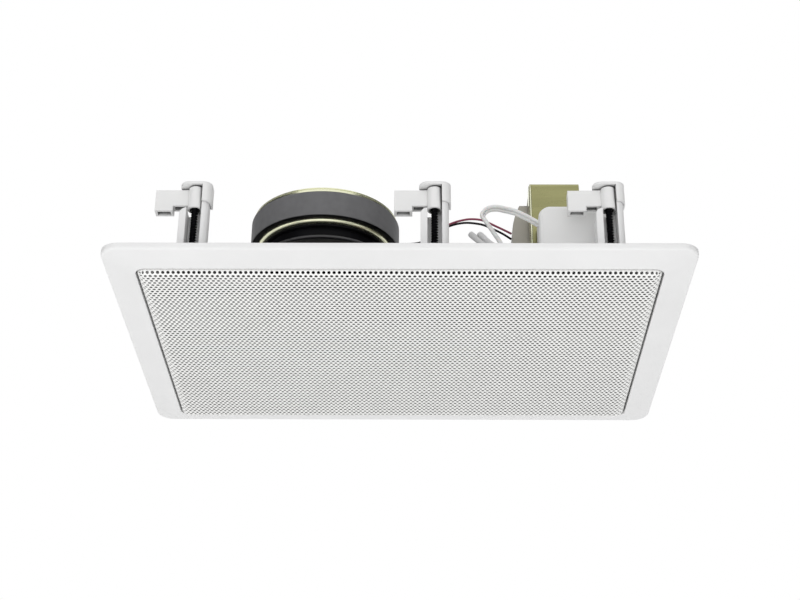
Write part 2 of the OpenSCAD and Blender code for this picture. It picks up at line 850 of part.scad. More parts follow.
// Swinging dog, parked with its arm along -x
module dog(seat) {
    arm_top = barrel_z + barrel_h - arm_top_drop;
    color("white")
    at_clamp(seat)
        difference() {
            union() {
                translate([0, 0, barrel_z])
                    cylinder(r = barrel_r, h = barrel_h);
                translate([-arm_reach, 0, web_z])
                    cube([arm_reach, arm_t, arm_top - web_z]);
                translate([-arm_reach, 0, barrel_z])
                    cube([pad_l, arm_t, arm_top - barrel_z]);
            }
            translate([0, 0, barrel_z - cut])
                cylinder(r = dog_bore_r, h = barrel_h + 2 * cut);
            translate([0, 0, barrel_z - cut])
                cylinder(r = barrel_r - socket_wall, h = cut + socket_depth);
            translate([-arm_reach + pocket_wall, pocket_wall, barrel_z - cut])
                cube([pad_l - 2 * pocket_wall, arm_t - 2 * pocket_wall, pocket_depth + cut]);
            translate([-arm_reach + pad_l + pocket_wall / 2, pocket_wall, web_z - cut])
                cube([
                    arm_reach - pad_l - barrel_r - 2 * pocket_wall,
                    arm_t - 2 * pocket_wall,
                    pocket_depth / 2 + cut
                ]);
        }
}

// Clamp screw with its head in the pocket behind the grille
module clamp_screw(seat) {
    z = ledge_z + head_slit;
    color("black")
    at_clamp(seat)
        difference() {
            union() {
                translate([0, 0, z])
                    cylinder(r = head_r, h = head_h);
                translate([0, 0, z])
                    cylinder(r = screw_r, h = cap_z + tip_depth - slit - z);
            }
            for (turn = [0, 90])
                rotate([0, 0, turn])
                    translate([-cross_l / 2, -cross_w / 2, z - cut])
                        cube([cross_l, cross_w, cut + cross_depth]);
        }
}

// Outline of the cap: round over the dog, flush round the column, with a tongue over the back wall
module cap_outline() {
    half = channel_w / 2;
    front = column_w + cap_wall;
    left = cap_round_r - cap_left;
    intersection() {
        translate([left, cap_round_r - front])
            circle(cap_round_r);
        translate([-cap_left, -front])
            square([cap_left, front + cap_lip_y]);
    }
    translate([left, -front])
        square([half - left, front + cap_lip_y]);
    translate([half, 0])
        circle(front);
    translate([half - cut, 0])
        square([cut + front, column_back_y + cap_wall]);
    translate([wall_rise_x, 0])
        square([half + column_rib_w - wall_rise_x, post_back_y]);
}

module cap(seat) {
    half = channel_w / 2;
    color("white")
    at_clamp(seat)
        difference() {
            union() {
                translate([0, 0, cap_z])
                    linear_extrude(cap_t)
                        cap_outline();
                translate([half, 0, cap_seam_z])
                    linear_extrude(cap_z - cap_seam_z)
                        column_outline(cap_wall);
            }
            translate([half, 0, cap_seam_z - cut])
                linear_extrude(cut + column_top_z + thin_slit - cap_seam_z) {
                    column_outline(slit);
                    translate([-slit, -column_w - slit])
                        square([2 * slit, column_w + column_back_y + 2 * slit]);
                    translate([-slit, 0])
                        square([column_rib_w + 2 * slit, post_back_y]);
                }
            translate([0, 0, cap_z - cut])
                cylinder(r = screw_bore_r, h = cut + tip_depth);
        }
}

// Transformer

module trafo_feet() {
    for (side = [-1, 1])
        translate([trafo_x, core_y + lamination_w / 2 + side * (lamination_w - foot_l) / 2, 0])
            children();
}

// Moulded pillars under the bracket's feet
module trafo_pedestals() {
    trafo_feet()
        translate([-stack_t / 2, -foot_l / 2, baffle_z])
            cube([stack_t, foot_l, pedestal_z - baffle_z]);
}

module trafo_screw_holes() {
    trafo_feet()
        translate([0, 0, baffle_z - cut])
            cylinder(r = foot_hole_r, h = pedestal_z - baffle_z + 2 * cut);
}

// Stack of laminations with the two windows that the coil fills
module transformer_core() {
    color("gray")
        difference() {
            translate([trafo_x - stack_t / 2, core_y, core_z])
                cube([stack_t, lamination_w, lamination_h]);
            for (side = [-1, 1])
                translate([trafo_x, core_y + lamination_w / 2, core_z + lamination_h / 2])
                    translate([0, side * 3 * window_w / 2, 0])
                        cube([stack_t + 2 * cut, window_w, window_h], center = true);
        }
}

// Taped winding that bulges out of both faces of the stack
module transformer_coil() {
    mid_z = core_z + lamination_h / 2;
    half = stack_t / 2 + coil_belly;
    color("darkgray")
        for (side = [-1, 1])
            translate([trafo_x, core_y + lamination_w / 2, mid_z])
                mirror([side < 0 ? 1 : 0, 0, 0])
                    intersection() {
                        translate([stack_t / 2 + coil_clear, -coil_w / 2, -coil_h / 2])
                            cube([coil_belly, coil_w, coil_h]);
                        translate([half - coil_bow_r, 0, -coil_bow_drop])
                            rotate([90, 0, 0])
                                cylinder(r = coil_bow_r, h = 2 * coil_w, center = true, $fn = 96);
                    }
}

// Strap over the stack, with a foot at each end
module transformer_bracket() {
    inner_w = lamination_w + 2 * thin_slit;
    outer_w = inner_w + 2 * bracket_t;
    top = trafo_top_z + thin_slit;
    color("darkkhaki")
    difference() {
        union() {
            translate([trafo_x - stack_t / 2, core_y + lamination_w / 2, 0])
                rotate([90, 0, 90])
                    linear_extrude(stack_t)
                        difference() {
                            union() {
                                translate([-outer_w / 2, pedestal_z])
                                    square([outer_w, top - bracket_corner_r - pedestal_z]);
                                translate([-outer_w / 2 + bracket_corner_r, pedestal_z])
                                    square([outer_w - 2 * bracket_corner_r, top - pedestal_z]);
                                for (side = [-1, 1])
                                    translate([side * (outer_w / 2 - bracket_corner_r), top - bracket_corner_r])
                                        circle(bracket_corner_r);
                            }
                            translate([-inner_w / 2, pedestal_z - cut])
                                square([inner_w, top - bracket_t - pedestal_z + cut]);
                        }
            trafo_feet()
                translate([-stack_t / 2, -foot_l / 2 - slit, pedestal_z])
                    cube([stack_t, foot_l + 2 * slit, bracket_t]);
        }
        trafo_feet()
            translate([0, 0, pedestal_z - cut])
                cylinder(r = foot_hole_r, h = bracket_t + 2 * cut);
    }
}

// Screw with its head on the front of the baffle
module long_screw(length) {
    translate([0, 0, baffle_z - long_head_h])
        cylinder(r = long_head_r, h = long_head_h);
    translate([0, 0, baffle_z - long_head_h])
        cylinder(r = long_screw_r, h = long_head_h + length);
}

module transformer_screws() {
    color("silver")
        trafo_feet()
            long_screw(pedestal_z - baffle_z + 2 * bracket_t);
}

// Connection box

// Front outline of the cover, grown or shrunk by a margin
module box_outline(margin) {
    w = box_w + 2 * margin;
    r = box_corner_r + margin;
    h = box_top_z - box_z + margin;
    translate([-w / 2, 0])
        square([w, h - r]);
    translate([-w / 2 + r, 0])
        square([w - 2 * r, h]);
    for (side = [-1, 1])
        translate([side * (w / 2 - r), h - r])
            circle(r);
}

module on_box() {
    translate([box_left_x + box_w / 2, box_front_y + box_d, box_z])
        children();
}

module box_screw_places() {
    for (share = box_screw_shares)
        translate([box_left_x + box_w * share, box_front_y + box_d / 2, 0])
            children();
}

module box_cover() {
    color("white")
    difference() {
        on_box()
            rotate([90, 0, 0])
                difference() {
                    hull() {
                        linear_extrude(box_d - box_edge_r)
                            box_outline(0);
                        linear_extrude(box_d - box_edge_r * box_edge_share)
                            box_outline(-box_edge_r * box_edge_share);
                        linear_extrude(box_d)
                            box_outline(-box_edge_r);
                    }
                    translate([0, 0, -cut])
                        linear_extrude(box_d - box_wall + cut)
                            difference() {
                                box_outline(-box_wall);
                                translate([-box_w, -cut])
                                    square([2 * box_w, cut + box_wall]);
                            }
                }
        box_screw_places()
            translate([0, 0, box_z - cut])
                cylinder(r = long_screw_r + thin_slit, h = box_boss_h);
        translate([box_left_x - cut, port_y, port_z])
            rotate([0, 90, 0])
                cylinder(r = port_r, h = box_wall + 2 * cut);
        translate([box_left_x + box_w - box_wall - cut, port_y, entry_z])
            rotate([0, 90, 0])
                cylinder(r = entry_r, h = box_wall + 2 * cut);
    }
}

module box_base() {
    color("gainsboro")
        on_box()
            rotate([90, 0, 0])
                linear_extrude(base_t)
                    difference() {
                        box_outline(-box_wall - thin_slit);
                        translate([-box_w, -cut])
                            square([2 * box_w, cut + box_wall + thin_slit]);
                        for (side = [-1, 1])
                            translate([side * base_screw_x, block_h])
                                circle(box_screw_r + thin_slit);
                    }
}

module terminal_block() {
    color("ivory")
        on_box()
            translate([-block_w / 2, -base_t - block_d, block_h / 2])
                difference() {
                    cube([block_w, block_d, block_h]);
                    for (k = [1 : wire_holes])
                        translate([block_w * (k - 1 / 2) / wire_holes, -cut, block_h / 2])
                            rotate([-90, 0, 0])
                                cylinder(r = wire_hole_r, h = block_d / 2);
                }
}

module box_screws() {
    color("silver")
        on_box()
            for (side = [-1, 1])
                translate([side * base_screw_x, 0, block_h])
                    rotate([90, 0, 0]) {
                        translate([0, 0, -base_t])
                            cylinder(r = box_screw_head_r, h = base_t);
                        cylinder(r = box_screw_r, h = 3 * base_t);
                    }
    color("silver")
        box_screw_places()
            long_screw(baffle_t + box_boss_h - 2 * cut);
}

// Leads

module at_corner() {
    translate([frame_w / 2, -frame_d / 2, 0])
        children();
}

// Flat twin cable: two cores side by side, parted at their ends
module supply_cable() {
    color("white")
    at_corner() {
        for (side = [-1, 1])
            translate([0, side * twin_pitch / 2, 0])
                lead(supply_route, twin_r);
        for (route = tail_routes)
            lead(route, lead_r);
    }
}

module red_lead() {
    color("darkred")
        lead(between(lug_tips[0], coil_ends[0], red_shares), lead_r);
}

module black_lead() {
    color("black")
        lead(between(lug_tips[1], coil_ends[1], black_shares), lead_r);
}

module primary_leads() {
    color("whitesmoke")
    at_corner()
        for (route = primary_routes)
            lead(route, lead_r);
}

// Closed-end crimp caps where the cable meets the transformer's leads
module crimp_connectors() {
    color("lightgray")
    at_corner()
        for (k = [0, 1])
            let (
                axis = crimp_tips[k] - crimp_feet[k],
                length = norm(axis)
            )
            translate(crimp_feet[k])
                rotate([0, acos(axis[2] / length), atan2(axis[1], axis[0])])
                    difference() {
                        union() {
                            cylinder(r = crimp_foot_r, h = length * crimp_foot_share);
                            cylinder(r = crimp_tip_r, h = length);
                        }
                        translate([0, 0, -cut])
                            cylinder(r = crimp_socket_r, h = cut + length * crimp_socket_share);
                    }
}

front_frame();
grille();
grille_cloth();
basket();
basket_gasket();
front_plate();
magnet();
yoke();
cone();
surround();
dust_cap();
voice_coil();
spider();
terminal_strip();
driver_screws();
dog(seats[0]);  // dog_near_left
dog(seats[1]);  // dog_near_middle
dog(seats[2]);  // dog_near_right
dog(seats[3]);  // dog_far_left
dog(seats[4]);  // dog_far_middle
dog(seats[5]);  // dog_far_right
clamp_screw(seats[0]);  // screw_near_left
clamp_screw(seats[1]);  // screw_near_middle
clamp_screw(seats[2]);  // screw_near_right
clamp_screw(seats[3]);  // screw_far_left
clamp_screw(seats[4]);  // screw_far_middle
clamp_screw(seats[5]);  // screw_far_right
cap(seats[0]);  // cap_near_left
cap(seats[1]);  // cap_near_middle
cap(seats[2]);  // cap_near_right
cap(seats[3]);  // cap_far_left
cap(seats[4]);  // cap_far_middle
cap(seats[5]);  // cap_far_right
transformer_core();
transformer_coil();
transformer_bracket();
transformer_screws();
box_cover();
box_base();
terminal_block();
box_screws();
supply_cable();
red_lead();
black_lead();
primary_leads();
crimp_connectors();
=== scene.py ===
"""Looks of a rectangular ceiling speaker that lies face down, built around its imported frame."""
import json
import math

import bmesh
import bpy
from mathutils import Matrix, Vector


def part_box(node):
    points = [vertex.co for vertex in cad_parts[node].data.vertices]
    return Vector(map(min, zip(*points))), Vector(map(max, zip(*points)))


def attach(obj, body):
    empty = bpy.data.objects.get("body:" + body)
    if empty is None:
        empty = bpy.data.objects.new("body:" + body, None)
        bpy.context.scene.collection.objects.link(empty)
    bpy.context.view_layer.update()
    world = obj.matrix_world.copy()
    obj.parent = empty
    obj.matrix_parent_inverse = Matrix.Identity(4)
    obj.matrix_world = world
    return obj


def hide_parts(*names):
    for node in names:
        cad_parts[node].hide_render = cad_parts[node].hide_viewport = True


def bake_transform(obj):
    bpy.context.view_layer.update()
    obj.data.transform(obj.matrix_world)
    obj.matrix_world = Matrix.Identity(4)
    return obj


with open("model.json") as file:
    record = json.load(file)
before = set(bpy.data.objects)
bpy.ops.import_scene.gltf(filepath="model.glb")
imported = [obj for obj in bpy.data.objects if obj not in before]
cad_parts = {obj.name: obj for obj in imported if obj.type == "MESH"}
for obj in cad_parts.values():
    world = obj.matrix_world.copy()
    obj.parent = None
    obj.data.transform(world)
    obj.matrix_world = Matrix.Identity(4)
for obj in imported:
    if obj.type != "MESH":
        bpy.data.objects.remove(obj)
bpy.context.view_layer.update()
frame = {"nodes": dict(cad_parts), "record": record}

MM = 0.001
SEATS = ["near_left", "near_middle", "near_right", "far_left", "far_middle", "far_right"]


# Camera

# Fitted to the corners of the frame and the grille; angles in degrees
CAMERA_PLACE = Vector((13.8, -1020.2, -502.5)) * MM
CAMERA_YAW = 0.831
CAMERA_PITCH = 28.18
CAMERA_ROLL = 0.486
FOCAL_PIXELS = 1538.0
PHOTO_WIDTH = 800
SENSOR_WIDTH = 36.0
CLIP_RANGE = (0.01, 50.0)


def make_camera():
    """The camera of the photograph: in front of the object and below it, looking up."""
    yaw, pitch, roll = (math.radians(a) for a in (CAMERA_YAW, CAMERA_PITCH, CAMERA_ROLL))
    forward = Vector((-math.sin(yaw) * math.cos(pitch),
                      math.cos(yaw) * math.cos(pitch),
                      math.sin(pitch)))
    level = Vector((math.cos(yaw), math.sin(yaw), 0.0))
    upright = level.cross(forward)
    right = level * math.cos(roll) + upright * math.sin(roll)
    up = upright * math.cos(roll) - level * math.sin(roll)
    data = bpy.data.cameras.new("camera")
    data.sensor_width = SENSOR_WIDTH
    data.lens = FOCAL_PIXELS / PHOTO_WIDTH * SENSOR_WIDTH
    data.clip_start, data.clip_end = CLIP_RANGE
    camera = bpy.data.objects.new("camera", data)
    bpy.context.collection.objects.link(camera)
    turn = Matrix((right, up, -forward)).transposed().to_4x4()
    camera.matrix_world = Matrix.Translation(CAMERA_PLACE) @ turn
    bpy.context.scene.camera = camera


# Surroundings

FLOOR_Z = -0.75
FLOOR_SIZE = 12.0
WORLD_STRENGTH = 0.92
PURE_WHITE = (1.0, 1.0, 1.0, 1.0)


def make_surroundings():
    """A white studio: plain white behind the object, light from all round and a pale floor."""
    world = bpy.data.worlds.new("studio")
    bpy.context.scene.world = world
    world.use_nodes = True
    tree = world.node_tree
    tree.nodes.clear()
    path = tree.nodes.new("ShaderNodeLightPath")
    seen = path.outputs["Is Camera Ray"]
    for ray in ("Is Glossy Ray", "Is Transmission Ray"):
        either = tree.nodes.new("ShaderNodeMath")
        either.operation = "MAXIMUM"
        tree.links.new(seen, either.inputs[0])
        tree.links.new(path.outputs[ray], either.inputs[1])
        seen = either.outputs["Value"]
    lit = tree.nodes.new("ShaderNodeBackground")
    lit.inputs["Color"].default_value = PURE_WHITE
    lit.inputs["Strength"].default_value = WORLD_STRENGTH
    white = tree.nodes.new("ShaderNodeBackground")
    white.inputs["Color"].default_value = PURE_WHITE
    mix = tree.nodes.new("ShaderNodeMixShader")
    tree.links.new(seen, mix.inputs["Fac"])
    tree.links.new(lit.outputs["Background"], mix.inputs[1])
    tree.links.new(white.outputs["Background"], mix.inputs[2])
    target = tree.nodes.new("ShaderNodeOutputWorld")
    tree.links.new(mix.outputs["Shader"], target.inputs["Surface"])
    bpy.context.scene.view_settings.view_transform = "Standard"

    bpy.ops.mesh.primitive_plane_add(size=FLOOR_SIZE, location=(0.0, 0.0, FLOOR_Z))
    floor = bpy.context.object
    floor.name = "floor"
    paint = Nodes("floor_paint")
    paint.colour(paint.noise(3.0), (0.9, 0.9, 0.9), (0.92, 0.92, 0.92))
    paint.roughness(paint.noise(8.0), 0.6, 0.7)
    floor.data.materials.append(paint.material)


# Name, place, target, width and height, and watts: one box low under the front, one ahead,
# one at the left and a weak one above
LIGHTS = (
    ("low_box", (0.0, -0.35, -0.72), (0.0, -0.05, 0.0), (2.6, 1.0), 5.6),
    ("front_box", (-0.3, -1.9, -0.3), (0.0, 0.0, 0.04), (1.6, 0.9), 1.6),
    ("left_box", (-1.5, -0.9, 0.4), (0.0, 0.0, 0.05), (1.0, 1.0), 3.0),
    ("top_box", (0.3, -0.3, 1.5), (0.0, 0.0, 0.05), (1.4, 1.4), 1.5),
)


def area_light(name, place, target, size, power):
    """A soft box that lights the object and isn't seen itself."""
    data = bpy.data.lights.new(name, "AREA")
    data.shape = "RECTANGLE"
    data.size, data.size_y = size
    data.energy = power
    light = bpy.data.objects.new(name, data)
    bpy.context.collection.objects.link(light)
    light.location = place
    aim = Vector(target) - Vector(place)
    light.rotation_euler = aim.to_track_quat("-Z", "Y").to_euler()
    light.visible_camera = False


CARD_X = 0.8
CARD_Z = 0.5
CARD_SCALE = (0.7, 1.6, 1.0)


def make_cards():
    """Dark cards beside the object, out of the picture, that give bright metal its dark ends."""
    paint = Nodes("card_paint")
    paint.colour(paint.noise(5.0), (0.03, 0.03, 0.03), (0.04, 0.04, 0.04))
    paint.roughness(paint.noise(9.0), 0.7, 0.8)
    for side in (-1, 1):
        bpy.ops.mesh.primitive_plane_add(size=1.0, location=(side * CARD_X, 0.0, CARD_Z))
        card = bpy.context.object
        card.name = "card"
        card.rotation_euler = (0.0, math.pi / 2, 0.0)
        card.scale = CARD_SCALE
        card.visible_camera = False
        card.data.materials.append(paint.material)


# Node helpers

AO_SAMPLES = 8
BEVEL_SAMPLES = 4


class Nodes:
    """Short calls for building one material's node tree."""

    def __init__(self, name):
        self.material = bpy.data.materials.new(name)
        self.material.use_nodes = True
        self.tree = self.material.node_tree
        self.shader = self.tree.nodes["Principled BSDF"]

    def add(self, kind, **values):
        """A new node, with values for its inputs or its own settings."""
        node = self.tree.nodes.new(kind)
        for key, value in values.items():
            if key in node.inputs:
                node.inputs[key].default_value = value
            else:
                setattr(node, key, value)
        return node

    def link(self, source, target):
        self.tree.links.new(source, target)

    def set(self, **values):
        """Values for the shader's own inputs, with low lines in place of spaces."""
        for key, value in values.items():
            self.shader.inputs[key.replace("_", " ")].default_value = value

    def place(self, scale=(1.0, 1.0, 1.0)):
        """Object coordinates in metres, scaled."""
        source = self.add("ShaderNodeTexCoord").outputs["Object"]
        mapping = self.add("ShaderNodeMapping")
        mapping.inputs["Scale"].default_value = scale
        self.link(source, mapping.inputs["Vector"])
        return mapping.outputs["Vector"]

    def noise(self, scale, detail=3.0, stretch=(1.0, 1.0, 1.0)):
        node = self.add("ShaderNodeTexNoise", Scale=scale, Detail=detail)
        self.link(self.place(stretch), node.inputs["Vector"])
        return node.outputs["Fac"]

    def wave(self, direction, scale, distortion=0.0):
        """Bands across one axis."""
        node = self.add("ShaderNodeTexWave", Scale=scale, Distortion=distortion,
                        wave_type="BANDS", bands_direction=direction)
        self.link(self.place(), node.inputs["Vector"])
        return node.outputs["Fac"]

    def openness(self, reach):
        """How much of the surroundings within reach is free: little in a deep recess."""
        node = self.add("ShaderNodeAmbientOcclusion", samples=AO_SAMPLES, Distance=reach)
        return node.outputs["AO"]

    def ramp(self, factor, stops):
        node = self.add("ShaderNodeValToRGB")
        while len(node.color_ramp.elements) < len(stops):
            node.color_ramp.elements.new(0.5)
        for element, (place, colour) in zip(node.color_ramp.elements, stops):
            element.position = place
            element.color = (*colour, 1.0)
        self.link(factor, node.inputs["Fac"])
        return node.outputs["Color"]

    def multiply(self, first, second, target):
        """Two colours multiplied into a target input."""
        node = self.add("ShaderNodeVectorMath", operation="MULTIPLY")
        self.link(first, node.inputs[0])
        self.link(second, node.inputs[1])
        self.link(node.outputs["Vector"], target)

    def colour(self, factor, dark, light, low=0.3, high=0.7):
        blend = self.ramp(factor, [(low, dark), (high, light)])
        self.link(blend, self.shader.inputs["Base Color"])

    def roughness(self, factor, low, high):
        node = self.add("ShaderNodeMapRange")
        node.inputs["To Min"].default_value = low
        node.inputs["To Max"].default_value = high
        self.link(factor, node.inputs["Value"])
        self.link(node.outputs["Result"], self.shader.inputs["Roughness"])

    def bump(self, height, distance, strength, normal=None):
        node = self.add("ShaderNodeBump", Strength=strength, Distance=distance)
        self.link(height, node.inputs["Height"])
        if normal is not None:
            self.link(normal, node.inputs["Normal"])
        self.link(node.outputs["Normal"], self.shader.inputs["Normal"])
        return node.outputs["Normal"]

    def soft_edges(self, radius):
        node = self.add("ShaderNodeBevel", samples=BEVEL_SAMPLES)
        node.inputs["Radius"].default_value = radius
        return node.outputs["Normal"]


def shade(colour, factor):
    """A lighter or darker colour."""
    return tuple(min(1.0, c * factor) for c in colour)


# Materials: lengths in metres, noise scales per metre

# Painted shade: how dark the surface is painted against how open it is, at the grille's rolled
# edge, in the pockets of the clamps, and hardly at all on the frame
GROOVE_SHADE = [(0.3, (0.6, 0.6, 0.6)), (0.9, (1.0, 1.0, 1.0))]
RECESS_SHADE = [(0.16, (0.15, 0.15, 0.15)), (0.47, (1.0, 1.0, 1.0))]
SLIGHT_SHADE = [(0.16, (0.85, 0.85, 0.85)), (0.47, (1.0, 1.0, 1.0))]


def moulded_plastic(name, colour, low=0.34, high=0.5, edge=0.0005, recess=0.004,
                    recess_shade=SLIGHT_SHADE):
    """Satin moulding: flow marks, fine spark-eroded grain, softened edges and painted shade in
    recesses.
    """
    n = Nodes(name)
    flow = n.ramp(n.noise(18.0, 4.0), [(0.3, shade(colour, 0.975)), (0.7, shade(colour, 1.015))])
    # Painted shade: the colour darkens where the surface is closed in
    shadow = n.ramp(n.openness(recess), recess_shade)
    n.multiply(flow, shadow, n.shader.inputs["Base Color"])
    n.roughness(n.noise(60.0), low, high)
    n.bump(n.noise(900.0, 2.0), 0.00003, 0.35, n.soft_edges(edge))
    n.set(Specular_IOR_Level=0.42)
    return n.material


def powder_coat(name, colour):
    """Baked powder paint with fine orange peel, and painted shade where the rolled edge meets its
    groove.
    """
    n = Nodes(name)
    coat = n.ramp(n.noise(25.0), [(0.3, shade(colour, 0.97)), (0.7, shade(colour, 1.01))])
    # Painted shade along the groove at the rolled edge
    shadow = n.ramp(n.openness(0.008), GROOVE_SHADE)
    n.multiply(coat, shadow, n.shader.inputs["Base Color"])
    n.roughness(n.noise(90.0), 0.48, 0.62)
    n.bump(n.noise(650.0, 2.0), 0.00004, 0.4)
    n.set(Specular_IOR_Level=0.3)
    return n.material


def plated_steel(name, light, dark, low=0.22, high=0.36):
    """Chromated zinc: the film's colour drifts, and the rolled sheet shows faint streaks."""
    streak = (1.0, 1.0, 6.0)
    n = Nodes(name)
    n.set(Metallic=0.95)
    n.colour(n.noise(22.0, 5.0, streak), dark, light, 0.25, 0.75)
    n.roughness(n.noise(140.0, 4.0, streak), low, high)
    n.bump(n.noise(420.0, 3.0, streak), 0.00003, 0.4, n.soft_edges(0.0004))
    return n.material


def ground_ferrite(name, colour):
    """Dense sintered ferrite, turned on its rim: dull, with fine grinding lines."""
    n = Nodes(name)
    n.colour(n.noise(160.0, 6.0), shade(colour, 0.92), shade(colour, 1.07))
    n.roughness(n.noise(70.0), 0.5, 0.68)
    n.bump(n.noise(260.0, 5.0, (1.0, 1.0, 9.0)), 0.00006, 0.5, n.soft_edges(0.0006))
    return n.material


def black_paint(name, colour, shine=0.06):
    """Thin, even black skin, on pressed sheet, screws and the black lead."""
    n = Nodes(name)
    n.colour(n.noise(40.0, 4.0), shade(colour, 0.7), shade(colour, 1.5))
    n.roughness(n.noise(110.0), 0.3, 0.42)
    n.bump(n.noise(500.0, 3.0), 0.00003, 0.4, n.soft_edges(0.0007))
    n.set(Specular_IOR_Level=shine)
    return n.material


def woven_cloth(name, warp, weft, thread=0.00045):
    """Plain weave from two crossed waves, each of which repeats after about two threads."""
    n = Nodes(name)
    scale = 1.0 / (2.0 * math.pi * thread)
    mix = n.add("ShaderNodeMath", operation="MULTIPLY")
    for direction, target in zip("XY", mix.inputs):
        n.link(n.wave(direction, scale), target)
    n.colour(mix.outputs["Value"], warp, weft, 0.05, 0.8)
    n.roughness(n.noise(300.0), 0.85, 0.98)
    n.bump(mix.outputs["Value"], 0.0001, 0.6)
    n.set(Sheen_Weight=0.04, Specular_IOR_Level=0.1)
    return n.material


def pressed_paper(name, colour):
    """Felted paper or board: short fibres and a dull face."""
    n = Nodes(name)
    n.colour(n.noise(900.0, 6.0, (1.0, 1.0, 3.0)), shade(colour, 0.5), shade(colour, 1.8))
    n.roughness(n.noise(300.0), 0.8, 0.95)
    n.bump(n.noise(1400.0, 6.0), 0.00008, 0.6)
    return n.material


def soft_rubber(name, colour):
    """Dull rubber of the surround."""
    n = Nodes(name)
    n.colour(n.noise(60.0), shade(colour, 0.8), shade(colour, 1.3))
    n.roughness(n.noise(200.0), 0.55, 0.72)
    n.bump(n.noise(1200.0, 3.0), 0.00003, 0.4)
    return n.material


def wound_wire(name, light, dark):
    """Layers of enamelled wire, seen as fine rings along z."""
    n = Nodes(name)
    rings = n.wave("Z", 620.0)
    n.set(Metallic=0.7)
    n.colour(rings, dark, light, 0.1, 0.9)
    n.roughness(n.noise(120.0), 0.3, 0.45)
    n.bump(rings, 0.0001, 0.6)
    return n.material


def stacked_sheets(name, light, dark):
    """Edges of varnished laminations, stacked along x."""
    n = Nodes(name)
    sheets = n.wave("X", 318.0, 0.4)
    n.set(Metallic=0.6)
    n.colour(sheets, dark, light, 0.15, 0.6)
    n.roughness(n.noise(90.0, 4.0), 0.42, 0.65)
    n.bump(sheets, 0.00012, 0.7)
    return n.material


def wrapped_tape(name, colour):
    """Winding tape: overlapping turns and a slightly crinkled film."""
    n = Nodes(name)
    turns = n.wave("Y", 26.0, 1.2)
    n.colour(n.noise(35.0, 5.0), shade(colour, 0.86), shade(colour, 1.1))
    n.roughness(n.noise(80.0), 0.38, 0.6)
    wrapped = n.bump(turns, 0.00025, 0.5, n.soft_edges(0.002))
    n.bump(n.noise(260.0, 4.0), 0.00012, 0.5, wrapped)
    return n.material


def soft_sheath(name, colour):
    """Extruded cable sheath: smooth, with a faint drift of its colour."""
    n = Nodes(name)
    n.colour(n.noise(70.0, 3.0), shade(colour, 0.92), shade(colour, 1.04))
    n.roughness(n.noise(150.0), 0.35, 0.52)
    n.bump(n.noise(700.0, 2.0), 0.00003, 0.3)
    n.set(Subsurface_Weight=0.08, Subsurface_Scale=0.001)
    return n.material


def clear_nylon(name, colour):
    """Milky nylon of the crimp caps."""
    n = Nodes(name)
    n.colour(n.noise(120.0), shade(colour, 0.94), shade(colour, 1.03))
    n.roughness(n.noise(200.0), 0.3, 0.45)
    n.bump(n.noise(500.0), 0.00004, 0.3)
    n.set(Transmission_Weight=0.2, IOR=1.5)
    return n.material


CLAMP_PLASTIC = {"edge": 0.0007, "recess": 0.011, "recess_shade": RECESS_SHADE}
BRIGHT_PLATE = {"low": 0.16, "high": 0.26}
RECIPES = (
    (moulded_plastic, "white_moulding", [(0.80, 0.80, 0.80)], {}),
    (moulded_plastic, "white_plastic", [(0.80, 0.80, 0.795)], CLAMP_PLASTIC),
    (moulded_plastic, "ivory_plastic", [(0.75, 0.72, 0.62)], {}),
    (moulded_plastic, "brown_board", [(0.28, 0.15, 0.07), 0.4, 0.6], {}),
    (pressed_paper, "grey_board", [(0.12, 0.12, 0.12)], {}),
    (powder_coat, "white_sheet", [(0.91, 0.91, 0.895)], {}),
    # Nearly black: the cloth's own dark weave, darkened further as painted shade behind the
    # grille's holes
    (woven_cloth, "grey_cloth", [(0.01, 0.012, 0.011), (0.03, 0.034, 0.031)], {}),
    (woven_cloth, "resined_cloth", [(0.4, 0.28, 0.12), (0.62, 0.47, 0.25), 0.0008], {}),
    (black_paint, "black_sheet", [(0.006, 0.006, 0.007)], {}),
    (black_paint, "black_steel", [(0.004, 0.004, 0.005), 0.04], {}),
    (plated_steel, "yellow_plated_steel", [(0.92, 0.92, 0.69), (0.73, 0.74, 0.52)], BRIGHT_PLATE),
    (plated_steel, "olive_plated_steel", [(0.35, 0.34, 0.165), (0.27, 0.265, 0.125)], {}),
    (plated_steel, "zinc_screw", [(0.7, 0.7, 0.68), (0.5, 0.5, 0.49)], {}),
    (ground_ferrite, "ferrite", [(0.14, 0.14, 0.145)], {}),
    (pressed_paper, "black_paper", [(0.03, 0.03, 0.031)], {}),
    (soft_rubber, "dark_rubber", [(0.03, 0.03, 0.03)], {}),
    (wound_wire, "copper_winding", [(0.72, 0.36, 0.18), (0.3, 0.12, 0.06)], {}),
    (stacked_sheets, "lamination_steel", [(0.22, 0.21, 0.12), (0.06, 0.06, 0.035)], {}),
    (wrapped_tape, "grey_tape", [(0.38, 0.36, 0.32)], {}),
    (soft_sheath, "white_sheath", [(0.82, 0.82, 0.81)], {}),
    (soft_sheath, "red_insulation", [(0.30, 0.05, 0.10)], {}),
    (black_paint, "black_insulation", [(0.008, 0.006, 0.007), 0.1], {}),
    # Painted highlight: a lighter, glossier copy of the basket's black, worn by the bead
    (black_paint, "bead_paint", [(0.03, 0.03, 0.032), 0.75], {}),
    (clear_nylon, "clear_nylon", [(0.72, 0.72, 0.72)], {}),
)
MATERIALS = {name: recipe(name, *values, **extra) for recipe, name, values, extra in RECIPES}
SLOTS = {part["node"]: part["material_slot"] for part in frame["record"]["subparts"]}


def dress_cad_nodes():
    """Each carried-over solid gets the material of its slot."""
    for name, node in frame["nodes"].items():
        material = MATERIALS[SLOTS[name]]
        if not node.material_slots:
            node.data.materials.append(material)
        for slot in node.material_slots:
            slot.material = material


# Mesh helpers

